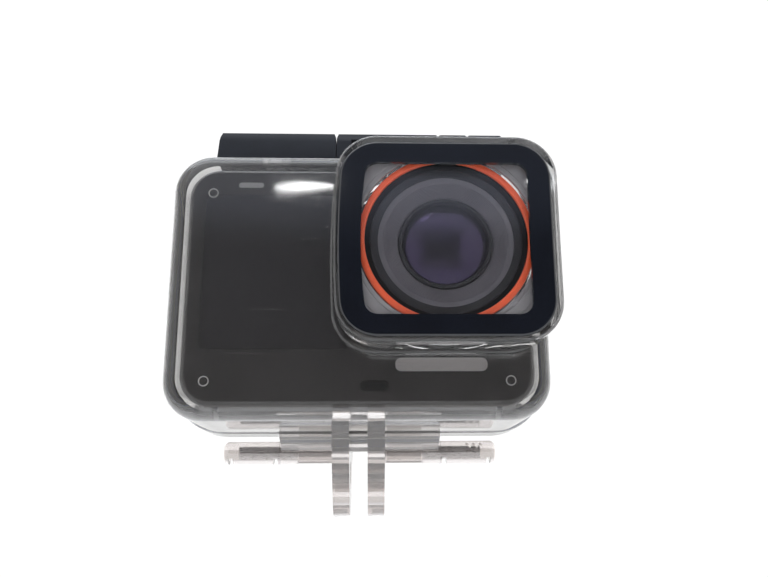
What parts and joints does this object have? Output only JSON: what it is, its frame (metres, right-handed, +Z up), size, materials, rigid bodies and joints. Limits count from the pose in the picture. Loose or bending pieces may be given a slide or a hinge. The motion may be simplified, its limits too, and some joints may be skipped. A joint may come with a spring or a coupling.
{
  "type": "action camera in dive housing",
  "caption": "Small two-screen action camera in a clear waterproof housing with a hinged rear door, top latch, push buttons and a two-finger mount.",
  "frame": {"origin": "centre of the mount's cross bore, between its two fingers", "axes": "+X to the right as seen from in front of the lens and along the mount's bore, +Y from the lens to the rear door, +Z up"},
  "size_m": [0.0728, 0.0397, 0.0751],
  "materials": {
    "clear_housing": "clear moulded polycarbonate",
    "window_glass": "clear polished pane",
    "bezel_black": "high gloss",
    "seal_pale": "translucent silicone",
    "gasket_blue": "satin silicone",
    "steel": "turned",
    "spring_steel": "drawn wire",
    "latch_plastic": "fine texture",
    "o_ring_rubber": "satin",
    "camera_front": "fine satin gloss",
    "camera_casing": "fine spark texture",
    "screw_black": "black oxide",
    "screen_glass": "smoked glass",
    "display_black": "dark panel",
    "light_pipe": "tinted",
    "mesh_black": "fine mesh",
    "nameplate_grey": "brushed",
    "lens_black": "satin",
    "ring_orange": "anodised",
    "lens_glass": "coated cover glass",
    "baffle_grey": "ridged",
    "coated_glass": "coated lens",
    "sensor_green": "sensor die",
    "circuit_board": "solder mask",
    "battery_wrap": "printed wrap",
    "contact_gold": "plated",
    "aluminium": "milled",
    "card_black": "moulded"
  },
  "bodies": {
    "housing": {"front_housing": "clear_housing", "left_hinge_plug": "clear_housing", "right_hinge_plug": "clear_housing", "lens_window": "window_glass", "window_bezel": "bezel_black", "window_seal": "seal_pale", "hinge_pins": "steel", "latch_pivot_pin": "steel", "shutter_spring": "spring_steel", "power_spring": "spring_steel", "camera_front_cover": "camera_front", "camera_body": "camera_casing", "camera_rear_cover": "camera_casing", "camera_screws": "screw_black", "battery_door": "camera_casing", "side_door": "camera_casing", "front_screen_glass": "screen_glass", "front_display": "display_black", "touch_screen_glass": "screen_glass", "rear_display": "display_black", "status_light": "light_pipe", "front_microphone": "mesh_black", "blank_nameplate": "nameplate_grey", "lens_housing": "lens_black", "lens_ring": "ring_orange", "lens_cover_glass": "lens_glass", "glass_mask": "lens_black", "lens_baffle": "baffle_grey", "lens_barrel": "lens_black", "front_lens": "coated_glass", "middle_lens": "coated_glass", "rear_lens": "coated_glass", "image_sensor": "sensor_green", "sensor_board": "circuit_board", "barrel_mount": "lens_black", "battery": "battery_wrap", "battery_contacts": "contact_gold", "main_board": "circuit_board", "heat_spreader": "aluminium", "usb_socket": "steel", "card_socket": "steel", "memory_card": "card_black", "speaker": "mesh_black"},
    "rear_door": {"rear_door": "clear_housing", "door_gasket": "gasket_blue", "rear_pads": "gasket_blue"},
    "latch": {"latch_lever": "latch_plastic", "latch_hook": "steel", "lock_spring": "spring_steel"},
    "latch_lock": {"lock_slider": "latch_plastic"},
    "shutter_control": {"shutter_key": "latch_plastic", "shutter_plunger": "steel", "shutter_o_ring": "o_ring_rubber", "shutter_clip": "spring_steel"},
    "power_control": {"power_cap": "latch_plastic", "power_plunger": "steel", "power_o_ring": "o_ring_rubber"},
    "camera_shutter_button": {"camera_shutter_button": "camera_casing"},
    "camera_power_button": {"camera_power_button": "camera_casing"}
  },
  "joints": [
    {"name": "door_hinge", "type": "hinge", "parent": "housing", "child": "rear_door", "pos_m": [0, 0.011, 0.0049], "axis": [-1, 0, 0], "range_deg": [0, 110]},
    {"name": "latch_pivot", "type": "hinge", "parent": "housing", "child": "latch", "pos_m": [0, -0.0009, 0.0624], "axis": [1, 0, 0], "range_deg": [0, 90]},
    {"name": "lock_slide", "type": "slide", "parent": "latch", "child": "latch_lock", "axis": [1, 0, 0], "range_m": [0, 0.002], "stiffness_N_per_m": 150, "springref_m": -0.001, "deforming": ["lock_spring"]},
    {"name": "shutter_press", "type": "slide", "parent": "housing", "child": "shutter_control", "axis": [0, 0, -1], "range_m": [0, 0.0015], "stiffness_N_per_m": 400, "springref_m": -0.001, "deforming": ["shutter_spring"]},
    {"name": "power_press", "type": "slide", "parent": "housing", "child": "power_control", "axis": [-1, 0, 0], "range_m": [0, 0.001], "stiffness_N_per_m": 400, "springref_m": -0.001, "deforming": ["power_spring"]},
    {"name": "camera_shutter_travel", "type": "slide", "parent": "housing", "child": "camera_shutter_button", "axis": [0, 0, -1], "range_m": [0, 0.0005]},
    {"name": "camera_power_travel", "type": "slide", "parent": "housing", "child": "camera_power_button", "axis": [-1, 0, 0], "range_m": [0, 0.00035]}
  ],
  "couplings": [
    {"joint": "camera_shutter_travel", "follows": "shutter_press", "ratio": 0.33333},
    {"joint": "camera_power_travel", "follows": "power_press", "ratio": 0.35}
  ]
}
